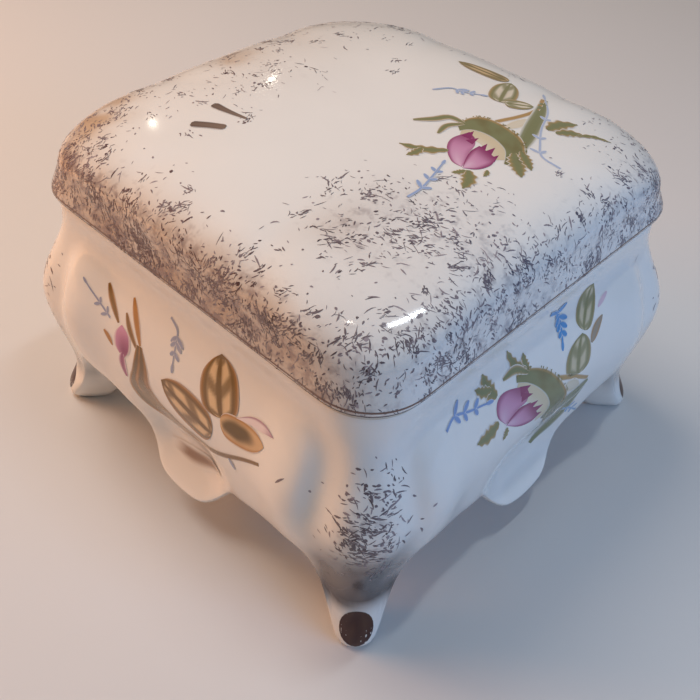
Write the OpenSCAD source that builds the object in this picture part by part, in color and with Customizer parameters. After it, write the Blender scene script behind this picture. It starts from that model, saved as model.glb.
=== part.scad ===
// Square footed porcelain box with a lift-off lid and a cake of seal paste in its well.
// Millimetres, +Z up, front face towards -Y, origin on the table under the middle of the box.
// Each porcelain piece is one closed skin: rings of points that run from the middle of its underside,
// out and up its outer face, over its rim and back down its inner face to the middle.

/* [Box] */
// Width across the lid, measured on its straight sides at the seam
lid_w = 86; // [76:1:100]
// Corner radius of the lid's outline at the seam
lid_corner_r = 10.5; // [7:0.5:14]
// Height of the seam between body and lid above the table
seam_z = 54; // [50:0.5:66]

/* [Body] */
// Thickness of the body's wall at the mouth
wall = 3; // [2.4:0.1:4]
// How far the body's rim stands inside the lid's edge
rim_inset = 1.2; // [0.6:0.1:2.4]
// Height of the plain band under the rim
rim_band = 4; // [3:0.5:7]
// Rounding of the rim's outer and inner edge
rim_round = 0.7; // [0.4:0.1:1]
// How far the belly swells past the rim
belly_out = 4.8; // [3:0.1:7]
// Height of the widest line of the belly
belly_z = 30; // [28:0.5:34]
// Corner radius of the belly
belly_corner_r = 8; // [7:0.5:11]
// How far the lower edge of the wall is drawn in from the belly
tuck_in = 1.4; // [1:0.1:5]
// Thickness of the lower edge between the legs
edge_t = 3.4; // [2.6:0.1:5]
// Height of the underside above the table
under_z = 15; // [13:0.5:17]
// Half width of the flat underside
under_a = 36; // [32:0.5:38]
// Thickness of the floor
floor_t = 3.4; // [2.6:0.1:5]
// Height over which the wall of the well turns into its floor
well_turn = 15; // [13:0.5:18]
// Half width of the flat floor of the well
floor_a = 31; // [27:0.5:33]

/* [Face panels] */
// Half width of the raised panel on each face, to the middle of the groove around it
panel_half = 35.5; // [33:0.5:37]
// How far the groove over the panel lies below the seam
groove_drop = 6.5; // [5:0.5:9]
// Depth of the groove around the panel
groove_depth = 1.2; // [0:0.1:1.8]
// Half width of the groove
groove_w = 3; // [2:0.1:4]
// Distance of each knee from the middle of its face
knee_at = 28; // [24:0.5:30]
// Height of the middle of the knees
knee_z = 34; // [30:0.5:40]
// How far a knee swells out of the panel
knee_out = 1.9; // [0.6:0.1:3]
// Half width of a knee
knee_half_w = 5; // [3.5:0.1:6.5]
// Half height of a knee
knee_half_h = 12; // [8:0.5:15]

/* [Apron] */
// Height of the lower edge where it is highest, beside the legs
arch_z = 18.5; // [17:0.5:22]
// Distance of that highest point from the middle of the face
arch_at = 28; // [25:0.5:30]
// Height the lower edge would have in the middle of the face if it had no lobe
apron_z = 12.5; // [10:0.5:16]
// Height of the lobe's lowest point above the table, in the middle of the face
lobe_z = 7.2; // [5:0.2:9]
// Half width of the lobe at its top
lobe_half = 15.5; // [12:0.5:20]
// Half width of the lobe's full part
lobe_full = 5.5; // [3:0.5:8]
// How far the lobe's lip stands out past the belly
lobe_out = 1.2; // [0:0.1:2.5]
// How far the waist over the lobe is drawn in from the belly
waist_in = 3.6; // [1.5:0.1:4.5]
// Height of the waist above the lobe's lowest point
waist_rise = 9; // [6:0.5:11]
// Rise of the small notch in the lower edge at each side of the lobe
nick_rise = 1.2; // [0:0.1:2]

/* [Legs] */
// Width of a toe at the table
toe_w = 10; // [7.6:0.2:12]
// Width of a leg where it runs out into the lower edge
leg_w = 25; // [20:0.5:27]
// Corner radius of the toe's front
toe_r = 5; // [4:0.1:7]
// How far the ankle is drawn in from the belly's corner, along the diagonal
ankle_in = 3.2; // [1.5:0.1:5]
// Height of the ankle
ankle_z = 10.5; // [8:0.5:12]
// How far the toe's tip stands inside the belly's corner, along the diagonal
toe_in = 0; // [0:0.1:2]
// Height of the toe's tip
toe_z = 2; // [1.5:0.1:3]
// Depth of a toe from front to back, along the diagonal
toe_depth = 8.5; // [7:0.5:10]

/* [Lid] */
// Height of the lid above the seam
lid_rise = 15.6; // [13:0.2:20]
// Height of the lid's side above the seam, up to where its shoulder starts to turn
lid_side_h = 5; // [4:0.5:7]
// How far the lid's side leans in over that height
lid_side_lean = 0.9; // [0.3:0.1:2]
// Corner radius of the lid where its shoulder starts
lid_shoulder_corner_r = 12.5; // [11:0.5:18]
// How much of the lid's corners the shoulder rounds away on its way to the middle
lid_corner_soften = 22; // [16:1:30]
// Thickness of the lid's wall
lid_wall = 3; // [2.4:0.1:4]
// Depth of the locating lip below the seam
lip_h = 3.6; // [2.5:0.1:5]
// Thickness of the locating lip
lip_t = 2.2; // [1.8:0.1:3]
// Clearance between the lip and the mouth of the body, all round
lip_gap = 0.8; // [0.5:0.1:1.2]
// Distance of each shoulder notch from the middle of its side
notch_at = 17; // [13:0.5:20]
// Depth of the shoulder notches
notch_depth = 0.5; // [0:0.1:1.4]
// Half width of a shoulder notch
notch_half_w = 3.5; // [3:0.5:6]

/* [Seal paste] */
// Depth of the paste from the floor to its edge
paste_depth = 11; // [6:0.5:14]
// Rise of the paste's top above its edge
paste_crown = 2.2; // [0.5:0.1:3]
// Clearance between the paste and the wall of the well
paste_gap = 0.3; // [0.2:0.1:0.6]
// Rounding of the paste's upper edge
paste_round = 3; // [2:0.5:4]

/* [Hidden] */

glaze_colour = "#f4efe8";
paste_colour = "#c8291e";

// Half widths and corner radii of the main outlines
lid_a = lid_w / 2;
rim_a = lid_a - rim_inset;
rim_corner_r = lid_corner_r - rim_inset;
belly_a = rim_a + belly_out;
edge_a = belly_a - tuck_in;
mouth_a = rim_a - wall;
mouth_corner_r = rim_corner_r - wall;
floor_corner_r = 6;
under_corner_r = 12;

// Heights inside the body
floor_z = under_z + floor_t;
cove_z = seam_z - rim_band;
groove_z = seam_z - groove_drop;

// Reach of the legs along the diagonals
belly_diag = (belly_a - belly_corner_r) * sqrt(2) + belly_corner_r;
ankle_diag = belly_diag - ankle_in;
toe_diag = belly_diag - toe_in;
// Rounding of the lower edge
edge_round = 1.2;
// Steepness of a leg's sides where they leave the toe
leg_flare = 2.3;
// Distance from the middle of the face and half width of the nick beside the lobe
nick_at = lobe_half - 2;
nick_half_w = 2.2;
// Groove corners, and the heights between which the groove fades out downwards
groove_corner_r = 8;
groove_fade = [24, 34];

// Outlines of the lid, its lip and its hollow
lip_a = mouth_a - lip_gap;
lip_corner_r = mouth_corner_r - lip_gap;
lip_in_a = lip_a - lip_t;
lip_in_corner_r = lip_corner_r - lip_t;
lid_top_z = seam_z + lid_rise;
shoulder_z = seam_z + lid_side_h;
shoulder_a = lid_a - lid_side_lean;
hollow_a = shoulder_a - lid_wall;
// Height over which the hollow widens above the lip
hollow_flare = 3;
// Fullness of the lid's shoulder curve: 2 is an ellipse, more is boxier
shoulder_power = 3.8;
// Spread of the shoulder's rings: more than 1 sets them closer together near the side
ring_spread = 1.6;
// Sweep angles between which a notch runs up the shoulder
notch_sweep = [2, 62];

// Columns of the skins in an eighth of a turn: close together at a corner, wider over a face
body_corner_cols = 7;
body_face_cols = 12;
lid_corner_cols = 7;
lid_face_cols = 7;
paste_corner_cols = 4;
paste_face_cols = 5;
body_corner_span = asin(leg_w / 2 / belly_diag);
lid_corner_span = 14;
// Rings of the skins over each stretch
lower_rings = 11;
upper_rings = 9;
well_upper_rings = 2;
well_rings = 5;
shoulder_rings = 13;

function ease(u) = let (c = min(max(u, 0), 1)) c * c * (3 - 2 * c);
function mix(a, b, u) = a + (b - a) * u;
function hump(u) = abs(u) >= 1 ? 0 : (1 + cos(180 * u)) / 2;
function bell(u) = exp(-u * u);
// Sine or cosine raised to the power that gives a boxy curve
function boxy(c, p) = pow(max(c, 0), 2 / p);

// Column angles all round: each quarter turn is mirrored about its diagonal
function offset_angle(i, near, far, span) =
    i <= near ? span * i / near : span + (45 - span) * (i - near) / far;
function columns(near, far, span) = [
    for (quarter = [0 : 3], i = [-(near + far) : near + far - 1])
        45 + 90 * quarter + sign(i) * offset_angle(abs(i), near, far, span)
];

// Share of a ray's direction across the face it leaves through, and along that face
function across(t) = max(abs(cos(t)), abs(sin(t)));
function along(t) = min(abs(cos(t)), abs(sin(t)));
// Distance from the middle of the face, where the ray crosses a square of half width a
function face_s(t, a) = a * along(t) / across(t);
// Distance sideways from the nearest diagonal, at the reach of the legs
function leg_s(t) = belly_diag * (across(t) - along(t)) / sqrt(2);

// Length of a ray from the middle to a rounded square of half width a and corner radius r
function square_ray(t, a, r) =
    let (m = across(t), n = along(t), k = a - r, b = k * (m + n))
    n * a <= m * k ? a / m : b + sqrt(b * b - 2 * k * k + r * r);
// Half width of the rounded square that reaches distance d along its diagonal
function diag_half(d, r) = (d - r) / sqrt(2) + r;

function polar(t, r, z) = [r * cos(t), r * sin(t), z];
function outline(cols, a, r, z) = [for (t = cols) polar(t, square_ray(t, a, r), z)];

// Weight of the leg and of the apron lobe in each column
function leg_weight(t) = 1 - ease((leg_s(t) - toe_w / 2) / (leg_w / 2 - toe_w / 2));
function lobe_share(s) = 1 - ease((s - lobe_full) / (lobe_half - lobe_full));
function lobe_weight(t) = lobe_share(face_s(t, belly_a));

// Lower edge: on the table at the toes, up the legs' sides to the arch, down again to the lobe
function leg_edge(u) = u <= 0 ? 0 : u >= 1 ? 1 : 1 - pow(1 - u, leg_flare);
function edge_z(s) =
    mix(apron_z, arch_z, ease(s / arch_at)) - (apron_z - lobe_z) * lobe_share(s)
    + nick_rise * bell((s - nick_at) / nick_half_w);
function low_z(t) =
    let (flat = toe_w / 2 - edge_round * 0.7, u = (leg_s(t) - flat) / (leg_w / 2 - flat))
    leg_edge(u) * edge_z(min(face_s(t, belly_a), arch_at));

// Diagonal reach of a leg: belly, drawn-in ankle, flared toe
function leg_diag(z) =
    z < ankle_z ? mix(toe_diag, ankle_diag, ease((z - toe_z) / (ankle_z - toe_z)))
                : mix(ankle_diag, belly_diag, ease((z - ankle_z) / (belly_z - ankle_z)));
function leg_corner_r(z) = mix(toe_r, belly_corner_r, ease(z / belly_z));
function leg_ray(t, z) =
    square_ray(t, diag_half(leg_diag(z), leg_corner_r(z)), leg_corner_r(z));

// Half width of the wall through a lobe: flared lip, waist, then the belly
function lobe_a(z) =
    let (waist_z = lobe_z + waist_rise)
    z < waist_z ? belly_a + mix(lobe_out, -waist_in, ease((z - lobe_z) / waist_rise))
                : belly_a - waist_in * (1 - ease((z - waist_z) / (belly_z - waist_z)));

// Relief of a face at distance s from its middle and height z: groove round the panel, and knees
function groove_gap(s, z) =
    let (dx = max(s - panel_half + groove_corner_r, 0), dz = max(z - groove_z + groove_corner_r, 0))
    norm([dx, dz]) - groove_corner_r;
function relief(s, z) =
    knee_out * bell((s - knee_at) / knee_half_w) * bell((z - knee_z) / knee_half_h)
    - groove_depth * bell(groove_gap(s, z) / groove_w)
      * ease((z - groove_fade[0]) / (groove_fade[1] - groove_fade[0]));

// Outer face below the belly, at sweep angle f from the lower edge (0) to the belly (90)
function lower_point(t, f) =
    let (
        start_z = low_z(t) + edge_round,
        z = belly_z - (belly_z - start_z) * cos(f),
        a = mix(mix(edge_a, belly_a, sin(f)), lobe_a(z), lobe_weight(t)) + relief(face_s(t, belly_a), z),
        r = mix(square_ray(t, a, belly_corner_r), leg_ray(t, z), leg_weight(t))
    )
    [r, z];
// Outer face from the belly up to the rim
function upper_a(z) = rim_a + belly_out * hump(max(z - belly_z, 0) / (cove_z - belly_z));
function upper_corner_r(z) = mix(belly_corner_r, rim_corner_r, ease((z - belly_z) / (seam_z - belly_z)));
function upper_ray(t, z) =
    let (a = upper_a(z)) square_ray(t, a + relief(face_s(t, a), z), upper_corner_r(z));

// Back of the lower edge, from its inner corner (0) to the outline of the flat underside (1)
function edge_depth(t) = mix(edge_t, toe_depth, leg_weight(t));
function back_point(t, u) = [
    mix(lower_point(t, 0)[0] - edge_depth(t), square_ray(t, under_a, under_corner_r), u),
    mix(low_z(t) + edge_round, under_z, u)
];

// Inner face of the well: straight under the mouth, then a rounded turn into the flat floor
well_top_z = floor_z + well_turn;
function well_ray(t, z) = square_ray(t, upper_a(z) - wall, upper_corner_r(z) - wall);
function well_point(t, f, gap) =
    let (
        a = mix(floor_a, upper_a(well_top_z) - wall, sin(f)),
        r = mix(floor_corner_r, upper_corner_r(well_top_z) - wall, sin(f))
    )
    polar(t, square_ray(t, a - gap, r - gap), well_top_z - well_turn * cos(f));

// Closes a stack of rings with a point at each end; the quads' diagonals mirror about each corner
module skin(rings, first, last) {
    n = len(rings[0]);
    count = len(rings);
    points = concat([first], [for (ring = rings) for (p = ring) p], [last]);
    end = len(points) - 1;
    faces = concat(
        [for (j = [0 : n - 1]) [0, 1 + j, 1 + (j + 1) % n]],
        [for (i = [0 : count - 2], j = [0 : n - 1], half = [0, 1])
            let (a = 1 + i * n + j, b = 1 + i * n + (j + 1) % n, c = b + n, d = a + n)
            j % (n / 4) < n / 8 ? (half == 0 ? [a, d, c] : [a, c, b])
                                : (half == 0 ? [a, d, b] : [b, d, c])],
        [for (j = [0 : n - 1])
            let (a = 1 + (count - 1) * n + j, b = 1 + (count - 1) * n + (j + 1) % n) [a, end, b]]
    );
    polyhedron(points = points, faces = faces, convexity = 10);
}

module box_body() {
    cols = columns(body_corner_cols, body_face_cols, body_corner_span);
    under = [outline(cols, under_a / 2, under_corner_r / 2, under_z)];
    back = [for (u = [1, 0.6, 0.25, 0]) [for (t = cols) let (p = back_point(t, u)) polar(t, p[0], p[1])]];
    edge = [
        [for (t = cols) polar(t, back_point(t, 0)[0] + edge_round, low_z(t))],
        [for (t = cols) polar(t, lower_point(t, 0)[0] - edge_round, low_z(t))],
        [for (t = cols) polar(t, lower_point(t, 0)[0] - edge_round * 0.3, low_z(t) + edge_round * 0.3)]
    ];
    lower = [for (i = [0 : lower_rings]) [
        for (t = cols) let (p = lower_point(t, 90 * i / lower_rings)) polar(t, p[0], p[1])
    ]];
    upper = [for (i = [1 : upper_rings]) let (z = mix(belly_z, seam_z - rim_round, i / upper_rings))
        [for (t = cols) polar(t, upper_ray(t, z), z)]];
    rim = [
        outline(cols, rim_a - rim_round, rim_corner_r - rim_round, seam_z),
        outline(cols, mouth_a + rim_round, mouth_corner_r + rim_round, seam_z),
        outline(cols, mouth_a, mouth_corner_r, seam_z - rim_round)
    ];
    well_upper = [for (i = [0 : well_upper_rings])
        let (z = mix(cove_z, well_top_z, i / (well_upper_rings + 1)))
        [for (t = cols) polar(t, well_ray(t, z), z)]];
    well = [for (i = [0 : well_rings]) [for (t = cols) well_point(t, 90 * (1 - i / well_rings), 0)]];
    color(glaze_colour)
        skin(concat(under, back, edge, lower, upper, rim, well_upper, well),
            [0, 0, under_z], [0, 0, floor_z]);
}

// Sweep angle of ring i of the shoulder, from the side (0) towards the middle (90)
function shoulder_sweep(i) = 90 * pow(i / shoulder_rings, ring_spread);
// Outer face of the lid over its shoulder, and its ceiling, at sweep angle f
function notch_cut(t, f) =
    let (middle = (notch_sweep[0] + notch_sweep[1]) / 2, half = (notch_sweep[1] - notch_sweep[0]) / 2)
    notch_depth * bell((face_s(t, lid_a) - notch_at) / notch_half_w) * hump((f - middle) / half);
function top_point(t, f) =
    let (
        a = shoulder_a * boxy(cos(f), shoulder_power),
        r = min(lid_shoulder_corner_r + lid_corner_soften * sin(f), a),
        cut = notch_cut(t, f)
    )
    polar(t, square_ray(t, a, r) - cut, mix(shoulder_z, lid_top_z, boxy(sin(f), shoulder_power)) - cut * 0.7);
function ceiling_point(t, f) =
    let (
        a = hollow_a * boxy(cos(f), shoulder_power),
        r = min(lid_shoulder_corner_r - lid_wall + lid_corner_soften * sin(f), a)
    )
    polar(t, square_ray(t, a, r), mix(shoulder_z, lid_top_z - lid_wall, boxy(sin(f), shoulder_power)));

module lid() {
    cols = columns(lid_corner_cols, lid_face_cols, lid_corner_span);
    lip_z = seam_z - lip_h;
    hollow = [for (i = [shoulder_rings - 1 : -2 : 0]) [for (t = cols) ceiling_point(t, shoulder_sweep(i))]];
    lip = [
        outline(cols, lip_in_a, lip_in_corner_r, shoulder_z - hollow_flare),
        outline(cols, lip_in_a, lip_in_corner_r, lip_z + rim_round),
        outline(cols, lip_in_a + rim_round, lip_in_corner_r + rim_round, lip_z),
        outline(cols, lip_a - rim_round, lip_corner_r - rim_round, lip_z),
        outline(cols, lip_a, lip_corner_r, lip_z + rim_round),
        outline(cols, lip_a, lip_corner_r, seam_z)
    ];
    side_mid_r = mix(lid_corner_r, lid_shoulder_corner_r, 0.4);
    side = [
        outline(cols, lid_a - rim_round, lid_corner_r - rim_round, seam_z),
        outline(cols, lid_a, lid_corner_r, seam_z + rim_round),
        outline(cols, mix(lid_a, shoulder_a, 0.4), side_mid_r, seam_z + lid_side_h / 2)
    ];
    shoulder = [for (i = [0 : shoulder_rings - 1]) [for (t = cols) top_point(t, shoulder_sweep(i))]];
    color(glaze_colour)
        skin(concat(hollow, lip, side, shoulder),
            [0, 0, lid_top_z - lid_wall], [0, 0, lid_top_z]);
}

module seal_paste() {
    cols = columns(paste_corner_cols, paste_face_cols, lid_corner_span);
    edge_z = floor_z + paste_depth;
    turn_z = edge_z - paste_round;
    // Sweep angle of the well's wall at height z, and the cake's outline there
    function sweep(z) = acos((well_top_z - z) / well_turn);
    function cake(t, z) = well_point(t, sweep(z), paste_gap);
    function reach(t) = let (p = cake(t, turn_z)) norm([p[0], p[1]]);
    base = [[for (t = cols) cake(t, floor_z)]];
    walls = [for (i = [1 : 4]) [for (t = cols) cake(t, mix(floor_z, turn_z, i / 4))]];
    turn = [for (f = [30, 60, 90]) [
        for (t = cols) polar(t, reach(t) - paste_round * (1 - cos(f)), turn_z + paste_round * sin(f))
    ]];
    crown = [for (u = [0.75, 0.5, 0.25]) [
        for (t = cols) polar(t, (reach(t) - paste_round) * u, edge_z + paste_crown * (1 - u * u))
    ]];
    color(paste_colour)
        skin(concat(base, walls, turn, crown), [0, 0, floor_z], [0, 0, edge_z + paste_crown]);
}

box_body();
lid();
seal_paste();
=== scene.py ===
# %% [markdown]
# # A square footed porcelain box with a cake of seal paste
#
# The real box is two slip castings of porcelain, a footed body and a domed lid, with a cake of vermilion
# seal paste in the well. Both castings were glazed and fired, sponged with gold, printed with sprigs of
# rosebuds, and fired once more.
#
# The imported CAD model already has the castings' shapes, so this file dresses it: a smooth glazed copy of
# each casting, and the decoration as thin enamel that hugs the glaze. Everything is in the CAD model's
# own frame. Blender works in metres here and sizes are written in millimetres, which MM turns into
# metres.

import math
import random

import bpy
from mathutils import Matrix, Vector, noise
from mathutils.bvhtree import BVHTree


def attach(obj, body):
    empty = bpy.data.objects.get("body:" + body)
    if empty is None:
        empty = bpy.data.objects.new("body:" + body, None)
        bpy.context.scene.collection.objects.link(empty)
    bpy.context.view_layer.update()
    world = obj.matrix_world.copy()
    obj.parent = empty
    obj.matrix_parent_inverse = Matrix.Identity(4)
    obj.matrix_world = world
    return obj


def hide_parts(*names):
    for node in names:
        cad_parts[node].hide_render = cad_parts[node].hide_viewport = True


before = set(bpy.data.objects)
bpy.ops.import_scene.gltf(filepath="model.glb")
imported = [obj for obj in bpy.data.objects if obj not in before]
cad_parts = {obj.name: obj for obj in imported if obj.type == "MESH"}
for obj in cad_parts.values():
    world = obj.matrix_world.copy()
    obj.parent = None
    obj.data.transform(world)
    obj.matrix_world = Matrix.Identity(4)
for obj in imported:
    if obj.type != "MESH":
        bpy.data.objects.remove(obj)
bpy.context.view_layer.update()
MM = 0.001

# %% [markdown]
# ## Colours
#
# A painter picks colours by eye, so they are written here as the codes of what the eye sees. Blender
# mixes light and wants linear values, so one function turns a code into them. The glaze comes first,
# because every other colour fades into it.


# %% A colour from its code
def colour(code):
    """Linear red, green and blue of an sRGB hex code."""
    channels = [int(code[i:i + 2], 16) / 255 for i in (1, 3, 5)]
    return tuple(c / 12.92 if c <= 0.04045 else ((c + 0.055) / 1.055) ** 2.4 for c in channels)


GLAZE = colour("#f0ebe4")
print("glaze in linear light:", [round(channel, 3) for channel in GLAZE])

# %% [markdown]
# ## Shader nodes
#
# A material in Blender is a small network of nodes. One function adds a node with its settings and
# links, so that each material below reads as a list. Patterns are noise, and their scale is worked out
# from the real size of a mark in millimetres.


# %% Helpers for the materials
NOISE_LOW, NOISE_HIGH = 0.3, 0.7  # most of Blender's noise lies between these


def add(tree, kind, inputs=None, **settings):
    """A new shader node: settings are its properties, inputs its sockets' values or links."""
    made = tree.nodes.new(kind)
    for key, value in settings.items():
        setattr(made, key, value)
    for socket, value in (inputs or {}).items():
        if isinstance(value, bpy.types.NodeSocket):
            tree.links.new(value, made.inputs[socket])
        else:
            made.inputs[socket].default_value = value
    return made


def new_material(name):
    """An empty material, its node tree and the place on the object in metres."""
    material = bpy.data.materials.new(name)
    material.use_nodes = True
    tree = material.node_tree
    tree.nodes.clear()
    return material, tree, add(tree, "ShaderNodeTexCoord").outputs["Object"]


def finish_material(tree, inputs):
    """The surface shader and the output."""
    shader = add(tree, "ShaderNodeBsdfPrincipled", inputs)
    add(tree, "ShaderNodeOutputMaterial", {"Surface": shader.outputs["BSDF"]})


def ranged(tree, place, period_mm, low, high, detail=2.0):
    """Noise of that period in millimetres, stretched to run from low to high."""
    cloud = add(tree, "ShaderNodeTexNoise",
                {"Vector": place, "Scale": 1 / (period_mm * MM), "Detail": detail})
    span = add(tree, "ShaderNodeMapRange",
               {"Value": cloud.outputs["Fac"], "From Min": NOISE_LOW, "From Max": NOISE_HIGH,
                "To Min": low, "To Max": high})
    return span.outputs["Result"]


# %% [markdown]
# ## Glazed porcelain
#
# The glaze is clear glass on a white body. It is glossy but not quite even, so that the lamps mirrored
# in it wobble a little. Colours painted on it sink into the glaze and shine almost as it does. All of
# them are one recipe, with another roughness and clear coat.
#
# A texture picture could hold the painted colour. Here it is stored on the points of the mesh, because
# it depends on the shape: how near a point is to an edge or a corner. The sponge's soft prints are too
# small for that, so they are noise in the material, let through where the mesh says that they lie.

# %% Glaze with its painted colour
# The sponge's soft prints are gold drawn a dull dark brown, a painted dark reflection; their cool grey copy
# on the right is painted cool light.
SPONGE_DAB = colour("#7c605d")
SPONGE_DAB_COOL_LIT = colour("#6a6f82")


def painted(tree, place, period_mm, low):
    """The colour stored on the mesh, with a faint mottle that darkens it down to the share low."""
    stored = add(tree, "ShaderNodeAttribute", attribute_name="tint").outputs["Color"]
    mottle = ranged(tree, place, period_mm, low, 1.0)
    darker = add(tree, "ShaderNodeVectorMath", {0: stored, "Scale": mottle}, operation="SCALE")
    return darker.outputs["Vector"]


def dabbed(tree, place, base):
    """The base colour under the sponge's soft prints, which turn from warm on the left to cool on the right:
    painted warm and cool light.
    """
    mark, gain, faintest, fullest = 1.9 * MM, 0.3, 0.58, 0.86
    warm_end, cool_end = -10 * MM, 35 * MM
    share = add(tree, "ShaderNodeAttribute", attribute_name="dabs").outputs["Fac"]
    marks = add(tree, "ShaderNodeTexNoise",
                {"Vector": place, "Scale": 1 / mark, "Detail": 2.0, "Roughness": 0.6, "Distortion": 0.2})
    level = add(tree, "ShaderNodeMath", {0: share, 1: gain, 2: marks.outputs["Fac"]},
                operation="MULTIPLY_ADD")
    spots = add(tree, "ShaderNodeMapRange",
                {"Value": level.outputs["Value"], "From Min": faintest, "From Max": fullest},
                interpolation_type="SMOOTHSTEP")
    cover = add(tree, "ShaderNodeMath", {0: share, 1: spots.outputs["Result"]}, operation="MULTIPLY")
    diagonal = add(tree, "ShaderNodeVectorMath", {0: place, 1: (1, 1, 0)}, operation="DOT_PRODUCT")
    cool = add(tree, "ShaderNodeMapRange",
               {"Value": diagonal.outputs["Value"], "From Min": warm_end, "From Max": cool_end})
    shade = add(tree, "ShaderNodeMix",
                {0: cool.outputs["Result"], 6: (*SPONGE_DAB, 1), 7: (*SPONGE_DAB_COOL_LIT, 1)},
                data_type="RGBA")
    under = add(tree, "ShaderNodeMix", {0: cover.outputs["Value"], 6: base, 7: shade.outputs[2]},
                data_type="RGBA")
    return under.outputs[2]


def porcelain_glaze(name, roughness, coat, with_dabs=False):
    """White porcelain or fired colour under a glossy glaze, with the glaze's slight waviness."""
    material, tree, place = new_material(name)
    wave = add(tree, "ShaderNodeTexNoise", {"Vector": place, "Scale": 1 / (7 * MM), "Detail": 2.0})
    relief = add(tree, "ShaderNodeBump",
                 {"Height": wave.outputs["Fac"], "Strength": 0.25, "Distance": 0.05 * MM})
    base = painted(tree, place, 18, 0.965)
    finish_material(tree, {
        "Base Color": dabbed(tree, place, base) if with_dabs else base,
        "Roughness": ranged(tree, place, 12, *roughness),
        "IOR": 1.52,
        "Coat Weight": coat,
        "Coat Roughness": 0.04,
        "Normal": relief.outputs["Normal"],
    })
    return material


BODY_GLAZE = porcelain_glaze("glazed_porcelain_body", (0.1, 0.17), 0.2, with_dabs=True)
LID_GLAZE = porcelain_glaze("glazed_porcelain_lid", (0.08, 0.15), 0.5, with_dabs=True)
TRANSFER = porcelain_glaze("fired_transfer_colours", (0.12, 0.2), 0.4)
# The gold is drawn a dull dark brown: a painted dark reflection in place of shining metal.
LUSTRE_GOLD = porcelain_glaze("gold_painted_as_dark_reflection", (0.25, 0.42), 0.0)
print("glazes:", [glaze.name for glaze in (BODY_GLAZE, LID_GLAZE, TRANSFER, LUSTRE_GOLD)])

# %% [markdown]
# ## Bare porcelain
#
# Where two pieces would stick together in the kiln, or to its shelf, the glaze is wiped off. Bare
# porcelain is dry, chalky and a little soiled by hands, so it is rough, has a fine grain, and is
# mottled towards a dirtier shade.

# %% Bare fired porcelain
BISQUE = colour("#ddd3c4")
BISQUE_SOIL = colour("#b9a88f")


def bisque(name):
    """Bare fired porcelain: fine, dry and a little soiled."""
    material, tree, place = new_material(name)
    grain = add(tree, "ShaderNodeTexNoise", {"Vector": place, "Scale": 1 / (0.5 * MM), "Detail": 4.0})
    relief = add(tree, "ShaderNodeBump",
                 {"Height": grain.outputs["Fac"], "Strength": 0.4, "Distance": 0.04 * MM})
    soil = add(tree, "ShaderNodeMix",
               {0: ranged(tree, place, 3, 0.0, 0.35, 5.0), 6: (*BISQUE, 1), 7: (*BISQUE_SOIL, 1)},
               data_type="RGBA")
    finish_material(tree, {
        "Base Color": soil.outputs[2],
        "Roughness": 0.78,
        "Normal": relief.outputs["Normal"],
    })
    return material


BARE = bisque("bare_fired_porcelain")
print("bare rim and toes:", BARE.name)

# %% [markdown]
# ## The two castings
#
# The CAD solids have the right shape, cut into flat facets, and a glaze would mirror every facet. They
# could be modelled again by hand, but then they might not fit their own solids. So a copy of each is
# merged into one skin, its triangles are turned into quads, and a Subdivision Surface modifier rounds
# it once. The copy stands for the CAD node and rides on its body.

# %% Smooth copies of the castings
FLATTEST, SQUAREST = math.radians(60), math.radians(70)  # limits for joining two triangles


def smooth_copy(node, name, body, materials, levels):
    """A smooth copy of a CAD node, in its place, that rides on its body and stands for it."""
    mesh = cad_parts[node].data.copy()
    made = bpy.data.objects.new(name, mesh)
    bpy.context.scene.collection.objects.link(made)
    mesh.materials.clear()
    for material in materials:
        mesh.materials.append(material)
    bpy.ops.object.select_all(action="DESELECT")
    made.select_set(True)
    bpy.context.view_layer.objects.active = made
    bpy.ops.object.mode_set(mode="EDIT")
    bpy.ops.mesh.select_all(action="SELECT")
    bpy.ops.mesh.remove_doubles(threshold=0.001 * MM)
    bpy.ops.mesh.tris_convert_to_quads(face_threshold=FLATTEST, shape_threshold=SQUAREST)
    bpy.ops.mesh.normals_make_consistent(inside=False)
    bpy.ops.object.mode_set(mode="OBJECT")
    smoother = made.modifiers.new("smoother", "SUBSURF")
    smoother.levels = smoother.render_levels = levels
    bpy.ops.object.modifier_apply(modifier="smoother")
    for attribute in list(mesh.attributes):
        if attribute.name.startswith("custom_normal") or attribute.name.startswith("sharp"):
            mesh.attributes.remove(attribute)
    mesh.polygons.foreach_set("use_smooth", [True] * len(mesh.polygons))
    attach(made, body)
    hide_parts(node)
    return made


body = smooth_copy("box_body", "box_body_glazed", "box", [BODY_GLAZE, BARE], 1)
lid = smooth_copy("lid", "lid_glazed", "lid", [LID_GLAZE, BARE], 1)
print("castings:", len(body.data.polygons), "and", len(lid.data.polygons), "faces")

# %% [markdown]
# ## Where the glaze is wiped off
#
# The body is bare on its rim and under its toes, the lid on the land that rests on the rim and on the
# end of its lip. These faces are found by their height and by how far they look up or down, and get
# the second material.

# %% Bare rim, land, lip and toes
SEAM = 54.0  # height of the seam, where the lid rests on the body
RIM_FROM, SOLE_TO = 53.2, 0.6  # the body's rim lies above the first, its soles below the second
LAND_FROM, LAND_TO, LIP_TO = 53.6, 54.3, 50.9  # the lid's land, and the end of its lip


def bare_body(height, up):
    """True on the rim and under the toes."""
    return (height > RIM_FROM and up > 0.35) or (height < SOLE_TO and up < -0.4)


def bare_lid(height, up):
    """True on the lid's land and on the end of its lip."""
    return (LAND_FROM < height < LAND_TO and up < -0.5) or (height < LIP_TO and up < -0.4)


for piece, is_bare in ((body, bare_body), (lid, bare_lid)):
    for face in piece.data.polygons:
        centre = face.center / MM
        face.material_index = 1 if is_bare(centre.z, face.normal.z) else 0
    print(piece.name, "bare faces:", sum(face.material_index for face in piece.data.polygons))


# %% [markdown]
# ## Where the sponged gold lies
#
# The sponge went round the lid's edge, thickest by the seam, dabbed each corner again, and left one big
# print on top behind the front corner. On the body it touched only the four corner ridges.
#
# Such a cover could be painted as a mask. Here it is a formula from 0 to 1 at a place in millimetres,
# because then the slivers of gold and the soft cloud under them can follow the same one.


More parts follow.
